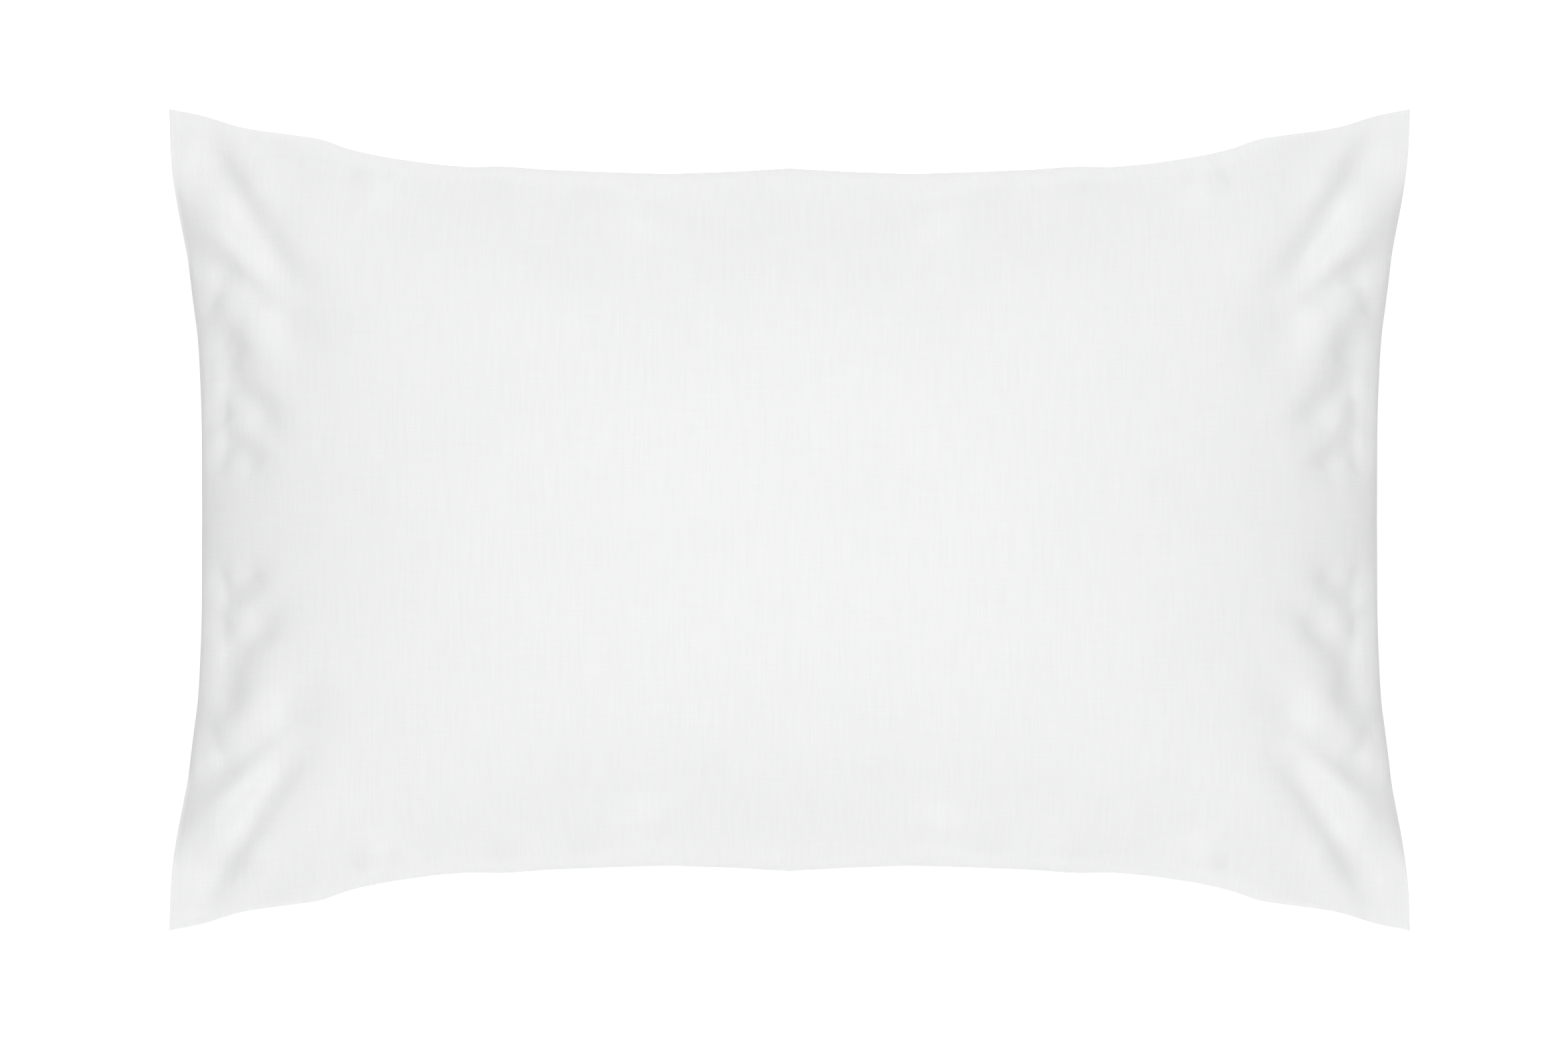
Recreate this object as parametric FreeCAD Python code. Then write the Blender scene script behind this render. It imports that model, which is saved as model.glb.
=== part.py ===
"""Bed pillow: a fibre-filled insert in a plain tuck-flap pillowcase, lying flat.

+Z is up, X runs along the pillow and Y across it. The origin is under its middle, on the resting face.
The case's open end is at -X. Lengths are in millimetres.

Every soft layer follows one cushion form. A point of the form has u along X and v along Y, each from -1
to 1, and a Layer says how far that layer lies inside the outer cloth.
"""

import FreeCAD
import Part

import math
import os

Vector = FreeCAD.Vector

# The filled case, over its outer cloth
CASE_LENGTH = 738.0        # corner to corner along X
CASE_WIDTH = 488.0         # corner to corner along Y
END_BOW = 21.0             # how far each short end draws in at its middle
SIDE_BOW = 37.0            # how far each long side draws in at its middle
SEAM_HEIGHT = 74.0         # the side seams' height above the resting face
TOP_RISE = 100.0           # the crown's height above the seams
BOTTOM_DROP = 94.0         # the belly's depth below the seams before the surface flattens it
FLAT_DEPTH = 0.4           # how much of the flattened belly is cut back to the resting plane
FLAT_BLEND = 2.0           # how softly the belly runs into its flattened part
FLAT_FAR = 30.0            # that many blends above the flat, the belly keeps its own shape

# The form's swell: (1 - |u|^power)^fullness, the same across
LENGTH_POWER = 3.0
WIDTH_POWER = 2.2
LENGTH_FULLNESS = 0.62
WIDTH_FULLNESS = 0.60
SIDE_POWER = 2.8           # how late a long side flares out to its corners
CORNER_POWER = 6           # how near its corners a layer's corner inset stays
END_FLARE_FROM = 0.3       # share of a short end's half width where it starts to flare
END_FLARE_OVER = 0.75      # and over which share it does

# Cloth, as modelled
CASE_CLOTH = 1.0
TICKING_CLOTH = 1.2
PLY = 0.8                  # folded or turned-in cloth in hems, flap and seam allowances
GAP = 0.5                  # air between two layers of cloth
THREAD_GAP = 0.1           # air between thread and the cloth it lies on
OUTSIDE_GAP = 0.2          # the same on the case's curved outside

# Tuck-flap case
OPENING_HEM_WIDTH = 25.0
OPENING_HEM_START = 4.0    # from the open end to the hem's outer edge
FLAP_DEPTH = 180.0
FLAP_HEM_WIDTH = 10.0
FLAP_HALF_SPAN = 0.94      # the flap's half width as a share of the form's
HEM_STITCH_MARGIN = 2.0    # from a hem's inner edge to its stitches
HEM_SPAN = 0.90            # how far hem stitches run, as a share of the half width
SEAM_ALLOWANCE = 8.0
SEAM_EDGE = 0.5            # how much cloth is turned in where there is no seam
SEAM_LINE = 1.5            # from the cloth's inner face to the seam's stitches
SEAM_SPAN = 0.94           # seam threads stop short of the corners, as a share of the half side
LABEL_THICKNESS = 0.4
CARE_LABEL = (25.0, 45.0)  # along the seam, and out from it
BAR_TACK = (8.0, 2.0)

# Filled insert
INSERT_PLAN_INSET = 15.0   # from the case's edge to the insert's edge
INSERT_CORNER_INSET = 24.0  # how much further its corners stay back from the case's
INSERT_TOP_INSET = 2.5
INSERT_BOTTOM_INSET = 6.5
CLOSING_EDGE = 4.0         # the closed filling port's folded edge, outside the end seam
INSERT_LABEL = (30.0, 50.0)
FILL_PLAN_INSET = 13.0     # from the ticking's edge to the filling's
BATTS = ("bottom", "lower", "middle", "upper", "top")

# Stitching
THREAD = 0.5
STITCH_PITCH = 4.0
STITCH_LENGTH = 2.8        # the length of each stitch that shows
OVERLOCK_WIDTH = 1.2

GRID_U = 41                # points of a whole form's grid along X
GRID_V = 33                # and along Y
STRIP_GRID = 25            # points along a strip or patch
PARTS = "parts"


class Layer:
    """Where a layer of the cushion lies: its insets from the outer cloth in plan, at the corners, above and below.

    Its rim stands off the seams' plane, up on an upper panel and down on a lower one, to leave room for the
    turned-in cloth. A negative rim reaches past that plane.
    """

    def __init__(self, plan=0.0, top=0.0, bottom=0.0, corner=0.0, rim=0.0):
        self.plan = plan
        self.top = top
        self.bottom = bottom
        self.corner = corner
        self.rim = rim

    def deeper(self, by):
        """The same layer, further in by that much."""
        return Layer(self.plan + by, self.top + by, self.bottom + by, self.corner, self.rim - by)

    def inside(self, by):
        """The same layer's outline, further in by that much in plan."""
        return Layer(self.plan + by, corner=self.corner)


OUTER = Layer(rim=CASE_CLOTH + PLY)
TICKING = Layer(INSERT_PLAN_INSET, INSERT_TOP_INSET, INSERT_BOTTOM_INSET, INSERT_CORNER_INSET,
                TICKING_CLOTH + PLY)


def ease(share):
    """A smooth step from 0 to 1."""
    share = min(1.0, max(0.0, share))
    return share * share * (3.0 - 2.0 * share)


def half_length(v, layer):
    flare = ease((abs(v) - END_FLARE_FROM) / END_FLARE_OVER) / ease((1.0 - END_FLARE_FROM) / END_FLARE_OVER)
    return CASE_LENGTH / 2.0 - END_BOW * (1.0 - flare) - layer.plan


def half_width(u, layer):
    return CASE_WIDTH / 2.0 - SIDE_BOW * (1.0 - abs(u) ** SIDE_POWER) - layer.plan


def swell(u, v):
    """The share of its full height that the form has at u, v."""
    along = max(0.0, 1.0 - abs(u) ** LENGTH_POWER) ** LENGTH_FULLNESS
    across = max(0.0, 1.0 - abs(v) ** WIDTH_POWER) ** WIDTH_FULLNESS
    return along * across


def plan_point(u, v, layer, height=0.0):
    """The point of a layer's outline at u, v, that high above the seams' plane."""
    back = layer.corner * (abs(u) * abs(v)) ** CORNER_POWER
    x = u * (half_length(v, layer) - back)
    y = v * (half_width(u, layer) - back)
    return Vector(x, y, SEAM_HEIGHT + height)


def top_point(u, v, layer):
    rise = layer.rim + (TOP_RISE - layer.top - layer.rim) * swell(u, v)
    return plan_point(u, v, layer, rise)


def bottom_point(u, v, layer):
    point = plan_point(u, v, layer, -layer.rim)
    floor = layer.bottom - FLAT_DEPTH
    over = (point.z - (BOTTOM_DROP - layer.bottom - layer.rim) * swell(u, v) - floor) / FLAT_BLEND
    point.z = floor + FLAT_BLEND * (over if over > FLAT_FAR else math.log(1.0 + math.exp(over)))
    return point


def spread(low, high, count):
    """Numbers from low to high, closer together near -1 and 1, where the form is steepest."""
    start = math.asin(low)
    step = (math.asin(high) - start) / (count - 1)
    return [math.sin(start + i * step) for i in range(count)]


def spline(points):
    """The smooth curve through the points, evenly paced whatever their spacing."""
    curve = Part.BSplineCurve()
    curve.interpolate(Points=points, Parameters=[float(i) for i in range(len(points))])
    return curve


def surface(point, layer, us, vs):
    """The smooth face through the layer's points over a grid of us and vs."""
    rows = [spline([point(u, v, layer) for v in vs]) for u in us]
    columns = [spline(list(poles)) for poles in zip(*(row.getPoles() for row in rows))]
    made = Part.BSplineSurface()
    poles = [list(line) for line in zip(*(column.getPoles() for column in columns))]
    along, across = columns[0], rows[0]
    made.buildFromPolesMultsKnots(
        poles, along.getMultiplicities(), across.getMultiplicities(), along.getKnots(), across.getKnots(),
        False, False, along.Degree, across.Degree)
    return made.toShape()


def whole(point, layer):
    return surface(point, layer, spread(-1.0, 1.0, GRID_U), spread(-1.0, 1.0, GRID_V))


def solid_of(faces):
    """One closed solid from faces whose edges meet."""
    shell = Part.makeShell(faces)
    shell.sewShape()
    found = Part.makeSolid(shell)
    if found.Volume < 0:
        found.reverse()
    return found


def wire(edges):
    return Part.Wire(Part.__sortEdges__(edges))


def outline(layer, height, seamed):
    """A layer's closed outline in plan, that high above the seams' plane.

    On sides that are not seamed it runs close to the edge instead.
    """
    near = Layer(layer.plan - SEAM_ALLOWANCE + SEAM_EDGE, corner=layer.corner)
    spots = [2.0 * i / (STRIP_GRID - 1) - 1.0 for i in range(STRIP_GRID)]
    left = near if "open_end" not in seamed else layer
    right = near if "closed_end" not in seamed else layer
    reach_left = half_length(1.0, left) / half_length(1.0, layer)
    reach_right = half_length(1.0, right) / half_length(1.0, layer)
    us = [u * (reach_left if u < 0 else reach_right) for u in spots]
    front = [plan_point(u, -1.0, layer, height) for u in us]
    rear = [plan_point(u, 1.0, layer, height) for u in us]
    ends = []
    for u, side in ((-1.0, left), (1.0, right)):
        points = [plan_point(u, v, side, height) for v in spots]
        corner = (front[0], rear[0]) if u < 0 else (front[-1], rear[-1])
        ends.append([corner[0]] + points[1:-1] + [corner[1]])
    return wire([spline(points).toShape() for points in (front, rear, *ends)])


def panel(point, side, layer, cloth, seamed):
    """One domed panel of cloth with its seam allowances turned in flat along the seams' plane.

    The side is 1 for an upper panel and -1 for a lower one.
    """
    outside = whole(point, layer)
    inside = whole(point, layer.deeper(cloth))
    turned = layer.inside(cloth + SEAM_ALLOWANCE)
    low = outline(turned, 0.0, seamed)
    high = outline(turned, side * PLY, seamed)
    rim = wire(outside.Edges)
    down = Vector(0, 0, -side * layer.rim)
    faces = [outside, inside, Part.Face([rim.translated(down), low]), Part.Face([wire(inside.Edges), high])]
    faces += rim.extrude(down).Faces + low.extrude(Vector(0, 0, side * PLY)).Faces
    return solid_of(faces)


def patch(point, layer, under, u_range, v_range):
    """A piece of cloth between a layer and the one under it, over a range of u and v."""
    us = spread(*u_range, STRIP_GRID)
    vs = spread(*v_range, STRIP_GRID)
    outside = surface(point, layer, us, vs)
    inside = surface(point, under, us, vs)
    sides = [Part.makeRuledSurface(a, b) for a, b in zip(outside.Edges, inside.Edges)]
    return solid_of([outside, inside] + sides)


def side_points(side, layer, height, span=SEAM_SPAN):
    """Points along one side of a layer's outline, that high above the seams' plane."""
    along = [span * (2.0 * i / (STRIP_GRID - 1) - 1.0) for i in range(STRIP_GRID)]
    if side in ("front", "rear"):
        v = -1.0 if side == "front" else 1.0
        return [plan_point(u, v, layer, height) for u in along]
    u = 1.0 if side == "closed_end" else -1.0
    return [plan_point(u, v, layer, height) for v in along]


def flat_strip(side, layer, start, end, thickness):
    """A flat strip in the seams' plane along one side, between two insets from the layer's edge."""
    near = side_points(side, layer.inside(start), -thickness / 2.0)
    far = side_points(side, layer.inside(end), -thickness / 2.0)
    edges = [spline(near).toShape(), Part.makeLine(near[-1], far[-1]),
             spline(far).toShape(), Part.makeLine(near[0], far[0])]
    return Part.Face(wire(edges)).extrude(Vector(0, 0, thickness))


def stitches(points):
    """A row of separate stitches lying on the cloth along the points."""
    made = []
    walked = 0.0
    for near, far in zip(points, points[1:]):
        run = far.sub(near)
        turn = FreeCAD.Rotation(Vector(1, 0, 0), run)
        while walked + STITCH_LENGTH < run.Length:
            centre_line = Vector(0, -THREAD / 2.0, -THREAD / 2.0)
            stitch = Part.makeBox(STITCH_LENGTH, THREAD, THREAD, centre_line)
            stitch.Placement = FreeCAD.Placement(near + run * (walked / run.Length), turn)
            made.append(stitch)
            walked += STITCH_PITCH
        walked = max(0.0, walked - run.Length)
    return made


def row_across(u, layer):
    """Points across the underside at one u."""
    return [bottom_point(u, HEM_SPAN * (2.0 * i / (GRID_U - 1) - 1.0), layer) for i in range(GRID_U)]


def above(height):
    size = 2.0 * CASE_LENGTH
    return Part.makeBox(size, size, size, Vector(-size / 2.0, -size / 2.0, height))


def share_of_length(distance):
    """The u that lies that far in from the open end, at the middle of the end."""
    return -1.0 + distance / half_length(0.0, OUTER)


def seam_threads(sides, layer, cloth, name):
    """Along each sewn side, the lockstitches through the turned-in cloth and the overlocked raw edges."""
    made = {}
    raw_edge = cloth + SEAM_ALLOWANCE + THREAD_GAP
    line = layer.inside(cloth + SEAM_LINE)
    for side in sides:
        clear = PLY + THREAD_GAP + THREAD / 2.0
        rows = [stitches(side_points(side, line, height)) for height in (clear, -clear)]
        made[f"{name}_{side}_seam_stitching"] = Part.makeCompound(rows[0] + rows[1])
        made[f"{name}_{side}_overlock_thread"] = flat_strip(
            side, layer, raw_edge, raw_edge + OVERLOCK_WIDTH, 2.0 * PLY + THREAD)
    return made


def make_case():
    """The pillowcase: two panels, the tuck flap at its open end, hems, seams and label."""
    hem_out = share_of_length(OPENING_HEM_START)
    hem_in = share_of_length(OPENING_HEM_START + OPENING_HEM_WIDTH)
    flap_in = share_of_length(FLAP_DEPTH)
    flap_hem_out = share_of_length(FLAP_DEPTH - FLAP_HEM_WIDTH)
    span = (-FLAP_HALF_SPAN, FLAP_HALF_SPAN)
    seamed = ("front", "rear", "closed_end")
    hem_layer = OUTER.deeper(CASE_CLOTH + GAP)
    hem_under = hem_layer.deeper(PLY)
    flap_layer = hem_under.deeper(GAP)
    flap_under = flap_layer.deeper(PLY)
    flap_hem_layer = flap_under.deeper(THREAD_GAP)
    flap_hem_under = flap_hem_layer.deeper(PLY / 2.0)
    made = {
        "case_face_panel": panel(top_point, 1, OUTER, CASE_CLOTH, seamed),
        "case_back_panel": panel(bottom_point, -1, OUTER, CASE_CLOTH, seamed).common(above(0.0)),
        "case_opening_hem": patch(bottom_point, hem_layer, hem_under, (hem_out, hem_in), span),
        "case_tuck_flap": patch(bottom_point, flap_layer, flap_under, (hem_out, flap_in), span),
        "case_flap_hem": patch(bottom_point, flap_hem_layer, flap_hem_under, (flap_hem_out, flap_in), span),
    }
    made.update(seam_threads(seamed, OUTER, CASE_CLOTH, "case"))
    made.update(hem_stitching(hem_in, flap_hem_out, flap_hem_under))
    made["case_care_label"] = care_label()
    return made


def hem_stitching(hem_in, flap_hem_out, flap_hem_under):
    """The rows of stitches on both hems, and the bar tacks at the opening's two ends."""
    proud = OUTER.deeper(-THREAD / 2.0 - OUTSIDE_GAP)
    inside = flap_hem_under.deeper(THREAD / 2.0 + THREAD_GAP)
    margin = share_of_length(HEM_STITCH_MARGIN) + 1.0
    tack_u = share_of_length(OPENING_HEM_START)
    tack_length = BAR_TACK[0] / half_length(0.0, OUTER)
    tack_width = BAR_TACK[1] / half_width(0.0, OUTER)
    on_cloth = OUTER.deeper(-OUTSIDE_GAP)
    tacks = [
        patch(bottom_point, on_cloth.deeper(-THREAD), on_cloth, (tack_u, tack_u + tack_length),
              sorted((end * HEM_SPAN, end * (HEM_SPAN - tack_width))))
        for end in (-1.0, 1.0)
    ]
    return {
        "case_opening_hem_stitching": Part.makeCompound(stitches(row_across(hem_in - margin, proud))),
        "case_flap_hem_stitching": Part.makeCompound(stitches(row_across(flap_hem_out + margin, inside))),
        "case_bar_tacks": Part.makeCompound(tacks),
    }


def care_label():
    """The blank label in the front seam, just past the flap, against the back panel."""
    start = share_of_length(FLAP_DEPTH + CARE_LABEL[0])
    end = share_of_length(FLAP_DEPTH + 2.0 * CARE_LABEL[0])
    reach = CARE_LABEL[1] / half_width(0.0, OUTER)
    layer = OUTER.deeper(CASE_CLOTH + GAP)
    across = (-FLAP_HALF_SPAN, reach - FLAP_HALF_SPAN)
    return patch(bottom_point, layer, layer.deeper(LABEL_THICKNESS), (start, end), across)


def make_insert():
    """The pillow itself: its ticking, seams, closed filling port, label and fibre filling."""
    seamed = ("front", "rear", "open_end")
    made = {
        "ticking_top_panel": panel(top_point, 1, TICKING, TICKING_CLOTH, seamed),
        "ticking_bottom_panel": panel(bottom_point, -1, TICKING, TICKING_CLOTH, seamed),
    }
    made.update(seam_threads(seamed, TICKING, TICKING_CLOTH, "ticking"))
    made["ticking_closing_edge"] = flat_strip("closed_end", TICKING, -CLOSING_EDGE, -THREAD_GAP, 2.0 * PLY)
    middle = TICKING.inside(-CLOSING_EDGE / 2.0)
    points = side_points("closed_end", middle, PLY + THREAD_GAP + THREAD / 2.0)
    made["ticking_closing_stitching"] = Part.makeCompound(stitches(points))
    made["insert_care_label"] = insert_label()
    made.update(fibre_batts())
    return made


def insert_label():
    """The blank label in the insert's seam at the open end, lying against its underside."""
    layer = TICKING.deeper(-LABEL_THICKNESS - GAP)
    under = TICKING.deeper(-GAP)
    start = -FLAP_HALF_SPAN
    reach = INSERT_LABEL[1] / half_length(0.0, TICKING)
    half = INSERT_LABEL[0] / 2.0 / half_width(0.0, TICKING)
    return patch(bottom_point, layer, under, (start, start + reach), (-half, half))


def fibre_batts():
    """The polyester filling: carded batts laid on each other, cut from one cushion form."""
    inset = TICKING_CLOTH + GAP
    form = Layer(TICKING.plan + FILL_PLAN_INSET, TICKING.top + inset, TICKING.bottom + inset, TICKING.corner)
    filling = solid_of([whole(top_point, form), whole(bottom_point, form)])
    low = bottom_point(0.0, 0.0, form).z
    step = (top_point(0.0, 0.0, form).z - low) / len(BATTS)
    made = {}
    for i, name in enumerate(BATTS):
        floor = low + i * step if i else -GAP
        roof = low + (i + 1) * step - GAP
        rest = filling.common(above(floor))
        made[f"fibre_batt_{name}"] = rest.cut(above(roof)) if name != BATTS[-1] else rest
    return made


def main():
    os.makedirs(PARTS, exist_ok=True)
    for name, shape in {**make_case(), **make_insert()}.items():
        solids = shape.Solids
        if not solids or not shape.isValid():
            raise RuntimeError(f"{name} is not a set of valid solids")
        volume = sum(s.Volume for s in solids) / 1000.0
        print(f"{name}: {len(solids)} solids, {volume:.2f} cm3, z {shape.BoundBox.ZMin:.2f} to "
              f"{shape.BoundBox.ZMax:.2f}")
        shape.exportStep(os.path.join(PARTS, name + ".step"))


main()
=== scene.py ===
import math

import bpy
import numpy as np
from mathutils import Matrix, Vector


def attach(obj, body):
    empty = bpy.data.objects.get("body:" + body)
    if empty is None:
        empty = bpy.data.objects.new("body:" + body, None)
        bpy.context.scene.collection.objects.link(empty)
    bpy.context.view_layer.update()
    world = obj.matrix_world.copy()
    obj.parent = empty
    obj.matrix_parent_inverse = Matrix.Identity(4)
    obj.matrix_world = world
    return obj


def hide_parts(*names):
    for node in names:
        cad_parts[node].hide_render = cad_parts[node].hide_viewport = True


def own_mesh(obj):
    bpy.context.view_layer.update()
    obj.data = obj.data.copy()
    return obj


# Looks of the bed pillow. Its cloth is simulated over the plump insert, a quarter of a panel at a time.
# Cloth lengths are in millimetres until a mesh is made, and the simulation's heights are above the seams' plane.

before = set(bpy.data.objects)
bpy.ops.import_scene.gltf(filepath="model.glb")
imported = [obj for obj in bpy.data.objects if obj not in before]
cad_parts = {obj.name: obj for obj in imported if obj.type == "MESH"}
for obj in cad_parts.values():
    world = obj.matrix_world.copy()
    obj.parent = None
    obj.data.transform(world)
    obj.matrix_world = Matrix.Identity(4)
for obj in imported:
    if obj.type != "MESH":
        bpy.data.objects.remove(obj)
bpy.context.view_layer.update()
MM = 0.001

# The case
SEAM_HEIGHT = 74.0
CUT = (375.0, 250.0)           # half the cloth between the seams, along and across
TOP_RISE = 101.0
BOTTOM_DROP = 96.0             # how deep the belly would be with nothing under it
EAR_DROP = 8.0                 # how far a corner's tip hangs below the other seams
EAR_START = (285, 185)         # where the empty corner begins, along and across
EAR_RUN = (84, 60)             # and how far it runs
ALLOWANCE = 8.0
SEAM_LINE = 2.5                # from the seam's edge to its stitches
SEAM_HALF_GAP = 0.25           # between the seams' plane and each panel's cloth at the seam
SEAM_SPAN = 0.94               # how far along a side its threads run
SEAM_PINCH = 1.2               # how far the stitches draw a long side's seam in between the bulging panels
BULGE_END = (235, 70)          # a long side bulges up to this x, and fades over this length before it
# The seam from the middle of a long side to the corner, and from the middle of a short end to it
SIDE = ((0, 206.3), (33, 204.4), (73, 203), (112, 204.2), (144, 205.5), (191, 209), (215, 211.5), (245, 216),
        (262, 220), (278, 225.5), (294, 228), (326, 233), (349, 240), (368.5, 244))
END = ((348, 0), (349, 79), (351, 111), (353, 126), (355, 142), (357, 158), (360, 174), (363, 190), (367, 217),
       (368.5, 244))
# Gathers in the cloth: where each runs, its half width, and its height, which is negative in a valley
FOLDS = (
    (((350, 224), (337, 203), (322, 178), (298, 142), (280, 126)), 11, -0.9),
    (((330, 192), (316, 168), (296, 140)), 5, -0.6),
    (((335, 233), (318, 205), (308, 190)), 8, 1.0),
    (((343, 195), (331, 168), (308, 142), (288, 116)), 8, 1.0),
    (((347, 151), (326, 141), (304, 126), (282, 107)), 8, -1.1),
    (((337, 136), (316, 120), (308, 95)), 9, 0.7),
    (((345, 130), (337, 124)), 5, -0.4),
    (((337, 108), (324, 91)), 8, -0.7),
    (((339, 85), (322, 73), (302, 55)), 7, -0.8),
    (((341, 69), (331, 59)), 5, -0.8),
    (((339, 49), (310, 30)), 6, -0.8),
    (((341, 38), (333, 30)), 4, -0.7),
    (((250, 208), (236, 193)), 7, 1.2),
    (((171, 203), (144, 191)), 7, 1.0),
    (((126, 201), (73, 174)), 9, 1.0),
)

# The insert
TICKING_CUT = (356.0, 229.0)
TICKING_SIDE = ((0, 191), (80, 190), (160, 192), (230, 197), (290, 203), (328, 205))
TICKING_END = ((333, 0), (333.5, 70), (333.5, 130), (332, 170), (328, 205))
TICKING_RISE = 95.0
CLEARANCE = 2.2                # between the ticking and the case
FLAP_ROOM = 3.6                # and for the flap under it

# Between the panels near the seams
END_ROUNDING = 12              # how far in the loft of a short end and of a long side is reached
SIDE_ROUNDING = 16
LEAST_GAP = 0.4                # from the seams' plane to either panel
SOFTNESS = 2.0                 # how gently a panel meets its lowest height
FLOOR_SOFTNESS = 1.5           # and the floor
FULL_LIFT_ROOM = 6             # where the case is this high inside, an inner sheet lies at its full height

# Thread
THREAD = 0.15                  # its radius
STITCH_PITCH = 4.0
STITCH = 2.8


def ease(share):
    """From 0 to 1 with a soft start and a soft end."""
    share = np.clip(share, 0, 1)
    return share * share * (3 - 2 * share)


# ---- the cloth's simulation ------------------------------------------------------------------------------------

def along(line, shares):
    """Smooth points along a line, at shares of its length."""
    line = np.array(line, float)
    at = np.r_[0, np.cumsum(np.hypot(*np.diff(line, axis=0).T))]
    want = np.asarray(shares) * at[-1]
    k = np.clip(np.searchsorted(at, want, side="right") - 1, 0, len(at) - 2)
    run = (at[k + 1] - at[k])[:, None]
    s = (want - at[k])[:, None] / run
    slope = np.gradient(line, at, axis=0)
    return ((2 * s**3 - 3 * s**2 + 1) * line[k] + (s**3 - 2 * s**2 + s) * run * slope[k]
            + (3 * s**2 - 2 * s**3) * line[k + 1] + (s**3 - s**2) * run * slope[k + 1])


def gathers(x, y, folds):
    """How far the folds raise or lower the cloth at each point, from -1 to 1."""
    out = np.zeros_like(x)
    for line, width, height in folds:
        line = np.array(line, float)
        runs = np.hypot(*np.diff(line, axis=0).T)
        nearest, share, walked = np.full(x.shape, 1e9), np.zeros_like(x), 0.0
        for a, b, run in zip(line[:-1], line[1:], runs):
            d = b - a
            t = np.clip(((x - a[0]) * d[0] + (y - a[1]) * d[1]) / run**2, 0, 1)
            away = (x - a[0] - t * d[0]) ** 2 + (y - a[1] - t * d[1]) ** 2
            closer = away < nearest
            nearest = np.where(closer, away, nearest)
            share = np.where(closer, (walked + t * run) / runs.sum(), share)
            walked += run
        fade = np.clip(4 * share * (1 - share) + 0.35, 0, 1)
        out += height * np.exp(-nearest / (2 * width**2)) * fade
    return out


def ear(x, y):
    """From 0 on the body to 1 at a corner's tip."""
    return ease((np.abs(x) - EAR_START[0]) / EAR_RUN[0]) * ease((np.abs(y) - EAR_START[1]) / EAR_RUN[1])


class Panel:
    """A quarter of one panel: its seam, and the shape that the filling gives it.

    side and end are the seam's outline, form is (rise, power along, fullness along, power across, fullness across),
    bulge is how far the cloth swells out past a long side's seam, hang how high the corner's tip is, and floor the
    height that the cloth can't pass. loft is the room kept for what lies between the panels near the seam, gather the
    share by which the cloth is longer than the shape at the short ends, and crease how far the folds are deepened.
    """

    def __init__(self, side, end, form, folds=(), bulge=0.0, hang=0.0, floor=None, loft=0.0, gather=0.0, crease=0.0):
        self.side, self.end = np.array(side, float), np.array(end, float)
        self.form, self.folds, self.bulge, self.hang, self.floor = form, folds, bulge, hang, floor
        self.loft, self.gather, self.crease = loft, gather, crease

    def even(self, power, fullness, half, count):
        """Shares of the half side that are evenly spaced along the cloth, over the crown."""
        u = np.sin(np.linspace(0, math.pi / 2, 4001))
        z = self.form[0] * np.maximum(1 - u**power, 0) ** fullness
        walked = np.r_[0, np.cumsum(np.hypot(np.diff(u * half), np.diff(z)))]
        return np.interp(np.linspace(0, walked[-1], count + 1), walked, u)

    def filled(self, n, m):
        """The panel's smooth shape over the filling."""
        rise, power_u, full_u, power_v, full_v = self.form
        s, t = np.meshgrid(np.linspace(0, 1, n + 1), np.linspace(0, 1, m + 1), indexing="ij")
        u = self.even(power_u, full_u, self.end[0, 0], n)[:, None]
        v = self.even(power_v, full_v, self.side[0, 1], m)[None]
        u, v = u + (s - u) * v**3, v + (t - v) * u**3
        x = u * np.interp(v, self.end[:, 1] / self.end[-1, 1], self.end[:, 0])
        y = v * np.interp(u, self.side[:, 0] / self.side[-1, 0], self.side[:, 1])
        y = y + self.bulge * np.sin(math.pi * v**12) * ease((BULGE_END[0] - x) / BULGE_END[1])
        body = np.maximum(1 - u**power_u, 0) ** full_u * np.maximum(1 - v**power_v, 0) ** full_v
        corner = np.clip((u - 0.72) / 0.28, 0, 1) * np.clip((v - 0.68) / 0.32, 0, 1)
        z = rise * body * (1 - 0.85 * ease(1.2 * corner)) + self.hang * ear(x, y)
        points = np.stack([x, y, z], -1)
        least = self.lowest(points, 1.0)
        above = (z - least) / SOFTNESS
        points[..., 2] = least + SOFTNESS * (np.logaddexp(0, above) - math.log(2) * np.exp(-np.abs(above)))
        return self.seam(self.kept(points))

    def seam(self, points):
        """Puts the grid's outer edges on the seam."""
        n, m = points.shape[0] - 1, points.shape[1] - 1
        points[:, -1, :2] = along(self.side, np.linspace(0, 1, n + 1))
        points[-1, :, :2] = along(self.end, np.linspace(0, 1, m + 1))
        for edge in (points[:, -1], points[-1]):
            edge[:, 2] = self.hang * ear(edge[:, 0], edge[:, 1])
        return points

    def insets(self, points):
        """How far each point is from the short end's seam and from the long side's."""
        x, y = points[..., 0], points[..., 1]
        return (np.clip(np.interp(y, self.end[:, 1], self.end[:, 0]) - x, 0, None),
                np.clip(np.interp(x, self.side[:, 0], self.side[:, 1]) - y, 0, None))

    def kept(self, points):
        """Eases the points to the floor's side."""
        if self.floor is not None:
            soft = FLOOR_SOFTNESS * np.logaddexp(0, (points[..., 2] - self.floor) / FLOOR_SOFTNESS)
            points[..., 2] = np.minimum(points[..., 2] - soft, self.floor)
        return points

    def lowest(self, points, share=0.3):
        """The least height that leaves room for what lies between the panels. A share of 1 is the empty ear's own."""
        end, side = self.insets(points)
        inside = (1 - np.exp(-(end / END_ROUNDING) ** 1.5)) * (1 - np.exp(-side / SIDE_ROUNDING))
        return self.hang * ear(points[..., 0], points[..., 1]) + LEAST_GAP + share * self.loft * inside


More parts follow.
